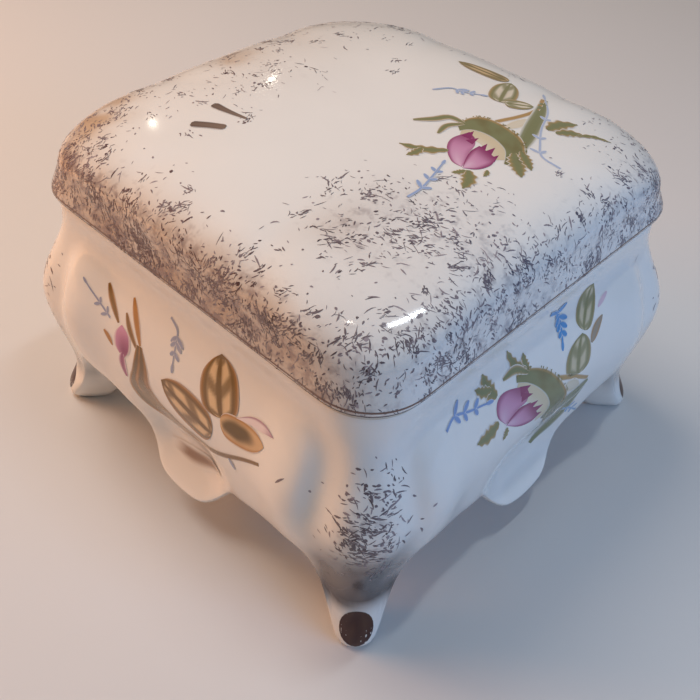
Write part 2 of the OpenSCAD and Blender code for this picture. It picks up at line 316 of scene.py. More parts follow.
# %% Helpers for a place on the glaze
def mix(a, b, share):
    """Between a and b, both numbers or both tuples, by share."""
    if isinstance(a, tuple):
        return tuple(mix(p, q, share) for p, q in zip(a, b))
    return a + (b - a) * share


def step(low, high, x):
    """0 below low, 1 above high, with a smooth turn between them."""
    u = min(max((x - low) / (high - low), 0), 1)
    return u * u * (3 - 2 * u)


def clumps(point, period, seed=0.0):
    """Smooth noise from -1 to 1 at a point in millimetres."""
    return noise.noise(Vector(point) / period + Vector((seed, 1.7 * seed, -seed)))


def fade(point, centre, reach, power=2):
    """1 at the centre of a round spot, seen from above, and next to nothing beyond its reach."""
    return math.exp(-(math.hypot(point[0] - centre[0], point[1] - centre[1]) / reach) ** power)


def oval(point, centre, reach, power=1):
    """As fade, for an oval spot with one reach along x and another along y."""
    across, along = (point[0] - centre[0]) / reach[0], (point[1] - centre[1]) / reach[1]
    return math.exp(-(across ** 2 + along ** 2) ** power)


# %% Cover of the lid and of the corner ridges
LID_HALF = 43.0  # half the width of the lid
PRINT = (32, -22)  # middle of the big print on top
WORN_CORNER = (41, -41)  # the front corner, where the gold lies in slivers with little cloud
BARE_PLACE = (25, -33)  # a place that the sponge missed, between the print and the front edge
FAR_SIDE = (-30, 0)  # faint dabs towards the far left edge
CORNERS = 50  # beyond this distance from the middle the body has only its corner ridges
# The smoke on the legs is drawn darker where the belly shades them: part smoke, part painted shade.
GOLD_HALF, SMOKE_AND_SHADE_HALF = 4.6, 8.5  # half widths of the gold and of the smoke on a corner ridge


def lid_cover(point):
    """Even cover of the sponge work on the lid: a band by the seam, the corners and the big print."""
    x, y, z = point
    front, right = step(-8, 8, -y - abs(x)), step(-8, 8, x - abs(y))  # how far it lies on each side
    rest = max(1 - front - right, 0)
    side, reach = front + 0.6 * right + 0.58 * rest, 11.2 * front + 14 * right + 11 * rest
    inward = max(LID_HALF - max(abs(x), abs(y)), 0)
    band = side * math.exp(-(((z - SEAM) * 0.6 + inward) / reach) ** 3)
    hollow = step(3, 14, math.hypot(x - PRINT[0], y - PRINT[1]))
    patch = 0.62 * fade(point, PRINT, 19, 5) * (0.5 + 0.5 * hollow)
    ends = sum(0.4 * fade(point, (sx * LID_HALF, sy * LID_HALF), 17, 3)
               for sx, sy in ((-1, -1), (1, 1), (-1, 1)))
    far_side = 0.2 * oval(point, FAR_SIDE, (12, 22))
    bare = 0.8 * oval(point, BARE_PLACE, (11, 6), 2)
    return min(max(band, patch) + 0.3 * min(band, patch) + ends + far_side, 1) * (1 - bare)


def lid_cloud(point):
    """Share of the soft cloud and dabs under the slivers: the same, but thin at the worn front corner."""
    return lid_cover(point) * (1 - 0.4 * fade(point, WORN_CORNER, 14))


def lid_density(point):
    """Density of the slivers on the lid: patchy, as the hand dabs, and fuller at the worn corner."""
    patchy = max(0.8 + 1.1 * clumps(point, 7.5) + 0.8 * clumps(point, 3.2, 4.0), 0.06)
    return lid_cover(point) * patchy * (1 + 0.35 * fade(point, WORN_CORNER, 14))


def leg_frame(point):
    """Sideways distance from the nearest corner ridge, and height."""
    return abs(abs(point[0]) - abs(point[1])) / math.sqrt(2), point[2]


def body_density(point):
    """Density of the sponge work on the body: full on the front corner ridge, thin on the others."""
    side, z = leg_frame(point)
    if math.hypot(point[0], point[1]) < CORNERS:
        return 0.0
    share = 1.0 if point[0] > 0 > point[1] else 0.3
    spread = math.exp(-(side / GOLD_HALF) ** 4)
    rise = step(22, 31, z) * (1 - step(37, 45, z))
    return max(share * spread * rise * (0.8 + 0.9 * clumps(point, 5.0, 3.0)), 0)


# %% [markdown]
# ## Colour of the glaze
#
# The sponge's thinned gold stains the white glaze between its slivers. That stain is drawn brown on the
# front and grey on the right, which is painted warm and cool light, and golden in washes on the left
# shoulder. On the legs the gold was rubbed out to a smoky shade, drawn darker under the belly as painted
# shade. Both colours are stored on the points of the castings, for the glaze to read. Only surfaces that
# look outward get them, because a casting has an inside too.

# %% Stains and dabs on the castings
# The cloud is a real stain of thinned gold; its brown copy on the front and left and grey copy on the right
# are painted warm and cool light.
WARM_CLOUD = colour("#b18c68")
COOL_LIT_CLOUD = colour("#9a9aa2")
GOLD_WASH = colour("#bf935f")
# Smoke rubbed out of the gold, darkened further as painted shade under the belly.
LEG_SMOKE_AND_SHADE = colour("#45393a")
WASHES = (((-37, -34), 6.5, 0.8), ((-34, -1), 4.0, 0.75), ((-40, -26), 5.0, 0.5))  # centre, reach, depth


def lid_glazed(point, normal):
    """True on the lid's outer face: over the seam, and looking away from the middle of the box."""
    return point.z > SEAM and normal.dot(Vector((point.x, point.y, (point.z - 40) * 1.5))) > 0


def lid_tint(point, normal):
    """Glaze colour of the lid: a faint stain under the sponge work, browner on the front as painted warm
    light and greyer on the right as painted cool light.
    """
    if not lid_glazed(point, normal):
        return GLAZE
    # painted light: 1 on the warm-lit front and left, 0 on the cool-lit right and back
    warm = step(-14, 14, -point.y - point.x)
    cloud = lid_cloud(point) * mix(0.28, 0.72, warm) * (0.9 + 0.5 * clumps(point, 6.0, 2.0))
    clouded = mix(GLAZE, mix(COOL_LIT_CLOUD, WARM_CLOUD, warm), min(max(cloud, 0), 0.8))
    wash = sum(depth * fade(point, centre, reach) for centre, reach, depth in WASHES)
    if wash <= 0.02:
        return clouded
    return mix(clouded, GOLD_WASH, min(wash * (0.8 + 0.9 * clumps(point, 3.5, 9.0)), 0.75))


def faces_out(point, normal):
    """True where a surface of the body looks away from its middle, so not inside the well or a foot."""
    return normal.x * point.x + normal.y * point.y > 0


def body_tint(point, normal):
    """Glaze colour of the body: smoke on the legs, darkened under the belly as painted shade, and a faint
    cloud under the sponge work.
    """
    side, z = leg_frame(point)
    ridge_from = mix(47, 52, step(14, 24, z))  # nearer the middle on the legs than on the walls
    if not faces_out(point, normal) or math.hypot(point[0], point[1]) <= ridge_from:
        return GLAZE
    ragged = 1.25 + 0.5 * clumps(point, 5.0, 6.0)
    # smoke and painted shade on the legs, darkest from the toes up under the belly
    smoke = math.exp(-(side / SMOKE_AND_SHADE_HALF) ** 4) * step(7, 12, z) * (1 - step(20, 33, z)) * ragged
    depth = 0.95 if point[0] > 0 > point[1] else 0.4
    clouded = mix(GLAZE, WARM_CLOUD, min(body_density(point) * 0.22, 1))
    return mix(clouded, LEG_SMOKE_AND_SHADE, min(depth * smoke, 0.95))


def tint(piece, at):
    """Stores the colour at(point in millimetres, normal) on each point of the mesh."""
    layer = piece.data.color_attributes.new("tint", "FLOAT_COLOR", "POINT")
    for vertex, cell in zip(piece.data.vertices, layer.data):
        cell.color = (*at(vertex.co / MM, vertex.normal), 1.0)


def dab(piece, at):
    """Stores the share of sponge dabs at(point in millimetres, normal) on each point of the mesh."""
    layer = piece.data.attributes.new("dabs", "FLOAT", "POINT")
    for vertex, cell in zip(piece.data.vertices, layer.data):
        cell.value = at(vertex.co / MM, vertex.normal)


tint(body, body_tint)
tint(lid, lid_tint)
dab(body, lambda point, normal: body_density(point) * 0.6 if faces_out(point, normal) else 0.0)
dab(lid, lambda point, normal: lid_cloud(point) * 0.72 if lid_glazed(point, normal) else 0.0)
print("stained points:", len(body.data.vertices) + len(lid.data.vertices))

# %% [markdown]
# ## Enamel that hugs the glaze
#
# Fired enamel stands a few hundredths of a millimetre proud of the glaze. A flat shape could be shrunk
# onto the casting by a modifier, but each leaf has many shades along and across it. So a stroke is a
# grid of points, each with its colour. Rays drop the points onto the casting, the surface's normal
# lifts them, and each stroke lies a touch higher than the one before, so that they never flicker.

# %% A collector of enamel strokes
ENAMEL_LIFT, NEXT_LIFT, LIFTS = 0.03, 0.002, 40  # height, what each stroke adds, and strokes per round
MISSED = Vector((0, 0, 0.03)), Vector((0, 0, 1))  # stands in where a ray met nothing; no quad uses it


class Enamel:
    """Collects patches that hug one casting, and makes one mesh of them."""

    def __init__(self, piece):
        self.surface = BVHTree.FromObject(piece, bpy.context.evaluated_depsgraph_get())
        self.points, self.quads, self.colours = [], [], []
        self.layer = 0

    def drop(self, start, aim):
        """The first surface point from start along aim, with its normal, or None."""
        place, normal, _, _ = self.surface.ray_cast(start, aim)
        return None if place is None else (place, normal)

    def nearest(self, point):
        """The surface point nearest to point, with its normal."""
        place, normal, _, _ = self.surface.find_nearest(point)
        return place, normal

    def patch(self, rows, colours, lift=None):
        """Adds a grid of (place, normal) rows with matching colours; a hole in it is skipped."""
        if lift is None:
            self.layer += 1
            lift = (ENAMEL_LIFT + NEXT_LIFT * (self.layer % LIFTS)) * MM
        first = len(self.points)
        width = len(rows[0])
        for row, shades in zip(rows, colours):
            for spot, shade in zip(row, shades):
                place, normal = spot or MISSED
                self.points.append(place + normal * lift)
                self.colours.append(shade)
        for i in range(len(rows) - 1):
            for j in range(width - 1):
                if rows[i][j] and rows[i][j + 1] and rows[i + 1][j] and rows[i + 1][j + 1]:
                    corner = first + i * width + j
                    quad = (corner, corner + 1, corner + width + 1, corner + width)
                    a, b, c, d = (self.points[k] for k in quad)
                    outward = (c - a).cross(d - b).dot(rows[i][j][1]) > 0
                    self.quads.append(quad if outward else quad[::-1])

    def make(self, name, material, ride):
        """One mesh of all the patches."""
        mesh = bpy.data.meshes.new(name)
        mesh.from_pydata(self.points, [], self.quads)
        layer = mesh.color_attributes.new("tint", "FLOAT_COLOR", "POINT")
        for cell, shade in zip(layer.data, self.colours):
            cell.color = (*shade, 1.0)
        mesh.materials.append(material)
        mesh.polygons.foreach_set("use_smooth", [True] * len(mesh.polygons))
        made = bpy.data.objects.new(name, mesh)
        bpy.context.scene.collection.objects.link(made)
        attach(made, ride)
        print(name, "has", len(self.quads), "quads")
        return made


# %% [markdown]
# ## Sponged gold
#
# A natural sponge dipped in gold and touched to the glaze leaves short slivers, a third of a millimetre
# to two and a half long. Most lie loose, every fifth dab left a tight clump of them, and some are
# blots. Within a dab they lie one way: outward over the lid's shoulder, across its corners on the top.
# Noise in the material would blur them, so each sliver is a tiny stroke of enamel. The dabs fall by
# chance where the cover is high, so the work thins out as it does by hand, and a seed keeps it so.

# %% One sliver
# The slivers' gold is drawn a dull dark brown, a painted dark reflection in place of shining metal; its warm
# copy on the front left and cool copy on the right are painted warm and cool light.
SPONGE = colour("#46312f")
SPONGE_WARM_LIT = colour("#573530")
SPONGE_COOL_LIT = colour("#4b5267")
SPONGE_FAINT = colour("#a5979a")
SLIVER_WIDTHS = (0.3, 1.0, 0.85, 0.15)  # shares of its half width at its four cross-pieces
SHORTEST, LONGEST, USUAL_MORE = 0.35, 2.6, 0.5  # lengths of a sliver, and what is usually added
THINNEST, THICKER = 0.06, 0.11  # half width of the thinnest sliver, and what the broadest adds to it
BLOT_SHARE, BLOT_LENGTH, BLOT_WIDER = 0.1, 0.8, 1.9  # blots are one in ten, short and almost twice as broad
TIGHT_SHARE, TIGHT_STROKES, TIGHT_SPREAD = 0.2, (6, 14), (0.4, 0.85)  # dabs that are a tight clump
LOOSE_MORE, LOOSE_SPREAD = 0.8, 1.9  # slivers that a loose dab adds to its first, and how far apart


def sliver(enamel, point, heading, length, half_width, bow, shade):
    """One stroke from point: four cross-pieces that follow the surface, with pointed ends."""
    rows, shades = [], []
    for share in SLIVER_WIDTHS:
        place, normal = enamel.nearest(point)
        heading = (heading - normal * heading.dot(normal)).normalized()
        side = normal.cross(heading) * half_width * share
        rows.append([(place - side, normal), (place + side, normal)])
        shades.append([shade, shade])
        point = place + heading * length / 3
        heading = (heading + normal.cross(heading) * bow).normalized()
    enamel.patch(rows, shades, (0.02 + 0.015 * abs(bow)) * MM)


# %% Dabs of slivers by chance
def sponge(enamel, piece, density, drawn, outside, dabs, size, seed):
    """Dabs of slivers over the outside of a casting, thick where density is high."""
    dice = random.Random(seed)
    faces = [f for f in piece.data.polygons if outside(f.center / MM, f.normal)]
    weights = [f.area * density(f.center / MM) for f in faces]
    corners = piece.data.vertices
    count = 0
    for face in dice.choices(faces, weights, k=dabs):
        a, b, d = (corners[face.vertices[i]].co for i in (0, 1, 3))
        spot = a + (b - a) * dice.random() + (d - a) * dice.random()
        normal = face.normal
        turn = Matrix.Rotation(1.6 * clumps(spot / MM, 8.0, 5.0) + dice.gauss(0, 0.35), 3, normal)
        way = turn @ drawn(spot / MM, normal)
        across = normal.cross(way)
        tight = dice.random() < TIGHT_SHARE
        strokes = dice.randint(*TIGHT_STROKES) if tight else 1 + int(dice.expovariate(1 / LOOSE_MORE))
        spread = dice.uniform(*TIGHT_SPREAD) if tight else LOOSE_SPREAD
        faint = dice.uniform(0.0, 0.4) if tight else dice.uniform(0.0, 0.75)
        # painted light: warmer towards the front left, cooler towards the right
        diagonal = (spot.x + spot.y) / MM
        warm_lit_gold = mix(SPONGE, SPONGE_WARM_LIT, step(-10, -40, diagonal))
        gold = mix(warm_lit_gold, SPONGE_COOL_LIT, 0.8 * step(-15, 38, diagonal))
        for _ in range(strokes):
            lean = dice.gauss(0, 0.4 if tight else 0.7)
            heading = way * math.cos(lean) + across * math.sin(lean)
            drift = (way * dice.gauss(0, 1.2) + across * dice.gauss(0, 1.0)) * spread * size
            length = min(SHORTEST + dice.expovariate(1 / USUAL_MORE), LONGEST) * size
            width = (THINNEST + THICKER * dice.random() ** 2) * size
            if dice.random() < BLOT_SHARE:
                length, width = min(length, BLOT_LENGTH), width * BLOT_WIDER
            shade = mix(gold, SPONGE_FAINT, min(faint + 0.3 * dice.random(), 1))
            sliver(enamel, spot + drift * MM, heading, length * MM, width * MM, dice.gauss(0, 0.2), shade)
            count += 1
    print("slivers of gold:", count)


# %% Sponge work on the lid and on the corner ridges
def lid_outside(point, normal):
    """True on the lid's side, shoulder and top, clear of its lower edge."""
    return point.z > SEAM + 0.3 and lid_glazed(point, normal)


def lid_drawn(point, normal):
    """Outward and down on the sides, round the nearest corner on the top."""
    corner = Vector((math.copysign(LID_HALF, point.x), math.copysign(LID_HALF, point.y), 0))
    out = corner - Vector((point.x, point.y, 0))
    around = Vector((-out.y, out.x, 0)).normalized()
    way = mix(Vector((0, 0, -1)), around, step(0.75, 0.95, normal.z))
    return (way - normal * way.dot(normal)).normalized()


def body_outside(point, normal):
    """True on the outer face of the body's corners, between the toes and the rim."""
    at_corner = math.hypot(point.x, point.y) > CORNERS
    return 5 < point.z < 50 and at_corner and normal.dot(Vector((point.x, point.y, 0))) > 0


def body_drawn(point, normal):
    """Slanting across the corner ridge."""
    way = Vector((-point.y, point.x, 0)).normalized() + Vector((0, 0, -0.7))
    return (way - normal * way.dot(normal)).normalized()


lid_sponge = Enamel(lid)
sponge(lid_sponge, lid, lid_density, lid_drawn, lid_outside, dabs=3600, size=1.0, seed=11)
lid_sponge.make("lid_sponged_gold", LUSTRE_GOLD, "lid")
body_sponge = Enamel(body)
sponge(body_sponge, body, body_density, body_drawn, body_outside, dabs=240, size=1.4, seed=12)
body_sponge.make("body_sponged_gold", LUSTRE_GOLD, "box")

# %% [markdown]
# ## Gold lines and toes
#
# A line of gold runs round the lid's lower edge with a fainter one over it, and each toe has an oval of
# gold. Both are drawn maroon and brown: a painted dark reflection in place of shining gold. The line is a
# strip of points dropped from all round, one for each degree. The oval is a grid whose rows get shorter
# towards its ends, as the chords of a circle do.

# %% Lines round the lid
# Dark gold: these maroon, brown and faded line colours are a painted dark reflection; the brown also lays the
# painted shade over the lobe.
MAROON = colour("#3a1416")
BROWN = colour("#6a4a33")
FADED_LINE = colour("#7d6054")
FROM_OUTSIDE = 90  # rays start this far from the middle, well outside the box


def edge_line(enamel, low, high, shade):
    """A line round the lid between two heights in millimetres."""
    rows, shades = [], []
    for i in range(361):
        turn = math.radians(i)
        out = Vector((math.cos(turn), math.sin(turn), 0))
        heights = [Vector((0, 0, mix(low, high, j / 2))) for j in range(3)]
        rows.append([enamel.drop((out * FROM_OUTSIDE + height) * MM, -out) for height in heights])
        worn = 0.25 * max(clumps(out * LID_HALF, 6.0, 8.0), 0)
        shades.append([mix(shade, GLAZE, worn)] * 3)
    enamel.patch(rows, shades)


trim = Enamel(lid)
edge_line(trim, 54.18, 54.78, MAROON)
edge_line(trim, 55.2, 55.5, FADED_LINE)
trim.make("lid_edge_lines", LUSTRE_GOLD, "lid")


# %% Ovals on the toes
TOE_HEIGHT, TOE_HALF_WIDE, TOE_HALF_HIGH = 5.0, 3.0, 3.7


def toe_oval(enamel, sx, sy):
    """An oval of gold on the front of a toe, painted along the corner's diagonal, drawn dark as a painted
    dark reflection.
    """
    out = Vector((sx, sy, 0)).normalized()
    side = Vector((-out.y, out.x, 0))
    rows, shades = [], []
    for i in range(13):
        v = -math.cos(math.pi * i / 12)
        chord = TOE_HALF_WIDE * math.sqrt(max(1 - v * v, 0.001))
        up = Vector((0, 0, TOE_HEIGHT + TOE_HALF_HIGH * v))
        starts = [out * FROM_OUTSIDE + side * chord * (j / 4 - 1) + up for j in range(9)]
        rows.append([enamel.drop(start * MM, -out) for start in starts])
        worn = [max(0.12 + 0.3 * clumps((j, v * 3, sx * 9), 2.0), 0) for j in range(9)]
        shades.append([mix(MAROON, BROWN, share) for share in worn])
    enamel.patch(rows, shades)


toes = Enamel(body)
for sx in (-1, 1):
    for sy in (-1, 1):
        toe_oval(toes, sx, sy)
toes.make("toe_ovals", LUSTRE_GOLD, "box")

# %% [markdown]
# ## Brush strokes
#
# The sprigs are transfers: painted once, printed on thin film and fired onto the glaze. They are drawn
# here flat, in millimetres on a face seen from outside, and dropped onto the casting.
#
# Everything in them is one of two strokes. A brush stroke is a smooth line with a width and a shade: a
# stem, a dash, a toothed leaf or a hair. A filled shape lies between two smooth edges: a petal, an
# outlined leaf or the bud's moss. A function gives the shade along and across the stroke.


# %% Smooth lines, strokes and filled shapes
def smooth_line(points, count):
    """Places and directions of count + 1 steps along a smooth curve through the points."""
    pts = [Vector(p) for p in points]
    pts = [pts[0] * 2 - pts[1], *pts, pts[-1] * 2 - pts[-2]]
    spans = len(pts) - 3
    out = []
    for i in range(count + 1):
        at = min(spans * i / count, spans - 1e-6)
        k, u = int(at), at - int(at)
        a, b, c, d = pts[k:k + 4]
        place = 0.5 * (2 * b + (c - a) * u + (2 * a - 5 * b + 4 * c - d) * u * u
                       + (3 * b - a - 3 * c + d) * u ** 3)
        way = (c - a) + (2 * a - 5 * b + 4 * c - d) * 2 * u + (3 * b - a - 3 * c + d) * 3 * u * u
        out.append((place, way.normalized()))
    return out


def brush(sheet, points, width, shade, along=16, across=6):
    """One stroke: width(s) in millimetres each side, shade(s, t) with s along it and t from -1 to 1."""
    enamel, canvas = sheet
    rows, shades = [], []
    for i, (place, way) in enumerate(smooth_line(points, along)):
        s = i / along
        side = Vector((-way.y, way.x)) * width(s)
        row = [2 * j / across - 1 for j in range(across + 1)]
        rows.append([canvas(*(place + side * t)) for t in row])
        shades.append([shade(s, t) for t in row])
    enamel.patch(rows, shades)


def soft(core, t, start=0.55):
    """The core colour, fading into the glaze towards the stroke's edges."""
    return mix(core, GLAZE, 0.85 * step(start, 1.0, abs(t)))


def between(sheet, left, right, shade, along=24, across=14):
    """A filled shape from one edge line to another: shade(s, t) with s along them and t from -1 to 1."""
    enamel, canvas = sheet
    rows, shades = [], []
    for i, (a, b) in enumerate(zip(smooth_line(left, along), smooth_line(right, along))):
        row = [2 * j / across - 1 for j in range(across + 1)]
        rows.append([canvas(*mix(a[0], b[0], (t + 1) / 2)) for t in row])
        shades.append([shade(i / along, t) for t in row])
    enamel.patch(rows, shades)


# %% [markdown]
# ## Leaves, stems and sprigs
#
# The painter's leaves are of two kinds. The outlined one has a dark rim, a midrib and slanting veins
# round pale cells, which are all worked out from the place along and across the leaf. The solid one is
# a brush stroke with teeth. Sprigs of pale blue are a thin stem with pairs of short dashes.

# %% Leaves
OLIVE = colour("#6d521b")
OLIVE_GOLD = colour("#b27a30")
LEAF_PALE = colour("#e3c293")
MOSS = colour("#828259")
MOSS_RIM = colour("#b5905a")
MOSS_PALE = colour("#d9c7a6")


def leaf_edges(base, tip, left, right):
    """The edges of a leaf from base to tip, which swell by left and right millimetres."""
    a, b = Vector(base), Vector(tip)
    out = Vector((a.y - b.y, b.x - a.x)).normalized()
    outline = ((0, 0), (0.03, 0.48), (0.15, 0.9), (0.42, 1), (0.7, 0.84), (0.89, 0.46), (1, 0))
    return [[mix(a, b, s) + out * (bulge * w) for s, w in outline] for bulge in (left, -right)]


def bent(base, tip, bow):
    """Three points from base to tip with the middle one off to the side by a share of the length."""
    a, b = Vector(base), Vector(tip)
    return [a, (a + b) / 2 + Vector((a.y - b.y, b.x - a.x)) * bow, b]


def outlined_leaf(sheet, base, tip, left, right, dark=OLIVE, light=OLIVE_GOLD, inner=LEAF_PALE, cells=3.2):
    """A leaf with a broad outline, golden outside and dark inside, a midrib and veins round pale cells."""
    def shade(s, t):
        edge = step(0.5, 0.66, abs(t))
        middle = 1 - step(0.09, 0.24, abs(t))
        vein = 1 - step(0.1, 0.32, abs((s * cells - abs(t) * 0.7) % 1 - 0.5))
        ends = 1 - step(0.06, 0.18, s) + step(0.78, 0.9, s)
        line = mix(dark, light, 0.1 + 0.75 * step(0.72, 0.98, abs(t)))
        core = mix(inner, line, min(max(edge, middle, 0.85 * vein, ends), 1))
        return mix(core, GLAZE, 0.35 * step(0.94, 1.0, abs(t)))
    between(sheet, *leaf_edges(base, tip, left, right), shade, 36, 20)


def solid_leaf(sheet, base, tip, half, bow=0.15, dark=MOSS, light=MOSS_RIM, teeth=4):
    """A small leaf in one colour with a lighter rim and toothed edges."""
    def width(s):
        swell = math.sin(math.pi * min(max(s, 0.02), 0.98) ** 0.8) ** 0.7
        return half * swell * (1 + 0.2 * math.sin(2 * math.pi * teeth * s))
    brush(sheet, bent(base, tip, bow), width,
          lambda s, t: soft(mix(dark, light, step(0.3, 1.0, abs(t))), t, 0.85), 24, 8)


# %% Dashes, stems and sprigs
def dash(sheet, points, half, core, rim=None):
    """A soft stroke with round ends, and an edge in another colour where one is given."""
    brush(sheet, points, lambda s: half * math.sin(math.pi * mix(0.07, 0.93, s)) ** 0.7,
          lambda s, t: soft(mix(core, rim or core, step(0.3, 0.9, abs(t))), t, 0.6), 14, 6)


def stem(sheet, points, half, core, thin=0.6):
    """A stem that tapers along its length."""
    brush(sheet, points, lambda s: half * (1 - thin * s), lambda s, t: soft(core, t, 0.6), 24, 6)


def sprig(sheet, points, pairs, size, core, half=0.26, start=0.4):
    """A thin stem with pairs of small soft leaves from the share start of its length on."""
    stem(sheet, points, half, core, 0.4)
    line = smooth_line(points, 24)
    for k in range(pairs):
        place, way = line[int(24 * mix(start, 0.96, k / pairs))]
        for hand in (-1, 1):
            reach = size * (1.0 - 0.14 * k) * (1 + 0.15 * hand)
            dash(sheet, [place, place + Matrix.Rotation(hand * 0.9, 2) @ way * reach], size * 0.23, core)
    dash(sheet, [line[-2][0], line[-1][0] + line[-1][1] * size * 0.6], size * 0.2, core)


# %% [markdown]
# ## The rosebud
#
# The flower is a bud of a moss rose: two pink petals, dark where they start and at their rims, with
# points of darker pink between them, in a mossy cap. It is drawn once in its own frame, ahead to its
# round end and side across it, and set down at another place and angle on each face.

# %% Petals and moss
PINK = colour("#cf8fb0")
PINK_PALE = colour("#e7c3d3")
PINK_DARK = colour("#8e2f62")


def rosy(rim_left, rim_right):
    """Shades of a petal: dark where it starts and at its rims, pale towards its round end."""
    def shade(s, t):
        rim = max(rim_left * step(0.5, 0.95, -t), rim_right * step(0.5, 0.95, t))
        start = 1 - step(0.0, 0.45, s)
        core = mix(PINK, PINK_DARK, min(max(rim, 0.95 * start), 1))
        return mix(core, PINK_PALE, 0.75 * step(0.35, 0.85, s) * (1 - min(rim * 1.3, 1)) * (1 - abs(t + 0.1)))
    return shade


def mossy(rim):
    """Shades of moss: mottled green, with an orange edge at t = 1 by the share rim."""
    def shade(s, t):
        core = mix(MOSS, OLIVE, max(0.15 + 0.5 * clumps((s * 9, t * 2, rim), 1.3), 0))
        return soft(mix(core, MOSS_RIM, rim * step(0.6, 0.85, t)), t, 0.88)
    return shade


def hairs(sheet, points, lengths, count, dice):
    """Short mossy hairs to the left of a line, of lengths between two values in millimetres."""
    line = smooth_line(points, 60)
    for _ in range(count):
        place, way = line[dice.randrange(1, 60)]
        out = Vector((-way.y, way.x)) + way * dice.gauss(0, 0.5)
        core = mix(MOSS, MOSS_RIM, dice.random() * 0.6)
        brush(sheet, [place - out * 0.3, place + out * dice.uniform(*lengths)], lambda s: 0.13 * (1.1 - s),
              lambda s, t: core, 2, 2)


# %% The whole bud
PETAL_POINTS = (((-2.6, -3.6), (-5.2, -4.4), 0.9), ((-2.0, -2.2), (-4.4, -2.3), 0.8),
                ((-1.6, 0.9), (-4.4, -0.2), 0.8), ((-1.6, 2.2), (-4.7, 1.4), 0.9),
                ((-1.4, 3.8), (-3.6, 3.4), 0.7))  # root, end and half width of each dark point


def rosebud(sheet, place, ahead, side, dice):
    """A moss-rose bud in its own frame: ahead points to its round end, side across it, in millimetres."""
    def at(*spots):
        return [Vector(place) + Vector(ahead) * a + Vector(side) * b for a, b in spots]

    def shaded_moss(s, t):
        """Pale moss behind the petals, greener on one side and fading at both."""
        return mix(mix(MOSS_PALE, MOSS, 0.3 * step(0.1, 0.9, t)), GLAZE, 0.3 * step(0.2, 1.0, abs(t)))

    brush(sheet, at((-3.4, -5.6), (-5.6, -2.6), (-5.6, 0.8), (-3.4, 4.8)), lambda s: 2.5, shaded_moss, 20, 10)
    between(sheet, at((-4.4, -4.6), (-0.4, -4.7), (2.4, -2.9), (4.4, 0.4), (4.2, 2.7)),
            at((-3.9, -2.8), (-2.3, -1.0), (0.2, 0.2), (2.4, 1.7), (4.2, 2.7)), rosy(0.75, 0.3))
    for root, end, half in PETAL_POINTS:
        brush(sheet, at(root, end), lambda s, h=half: h * (1.04 - s), lambda s, t: PINK_DARK, 6, 4)
    between(sheet, at((-2.8, -0.4), (-0.4, 0.0), (2.0, 1.3), (4.3, 3.0)),
            at((-2.6, 3.9), (-0.2, 4.9), (2.4, 4.6), (4.3, 3.0)), rosy(0.95, 0.85))
    inner = at((-3.2, -5.8), (-4.9, -5.1), (-6.0, -3.5), (-6.5, -1.3), (-6.3, 0.9), (-5.6, 2.8),
               (-4.2, 4.3), (-2.6, 5.6))
    outer = at((-4.2, -7.4), (-7.4, -8.2), (-10.0, -7.2), (-11.2, -4.6), (-11.4, -1.6), (-11.0, 1.6),
               (-8.6, 4.8), (-4.0, 7.6))
    between(sheet, inner, outer, mossy(0.85), 40, 16)
    hairs(sheet, outer[::-1], (0.4, 1.0), 40, dice)
    solid_leaf(sheet, *at((-6.4, 4.2), (-2.6, 9.8)), 1.6, 0.0, MOSS, MOSS_RIM, 6)
    solid_leaf(sheet, *at((-8.0, 4.4), (-5.6, 9.2)), 1.1, 0.0, MOSS, MOSS_RIM, 5)


# %% [markdown]
# ## The sprigs of the two faces
#
# The front face, on the left in the photograph, has a long mossy stem with golden outlined leaves and a
# narrow bud. The right face has a rosebud, blue sprigs and green leaves. The points were traced from the
# photograph: first across the face from its middle, then the height over the table.

# %% Front face
BLUE = colour("#819dcb")
BLUE_BRIGHT = colour("#4b93cc")
BLUE_GREY = colour("#9aa0b8")


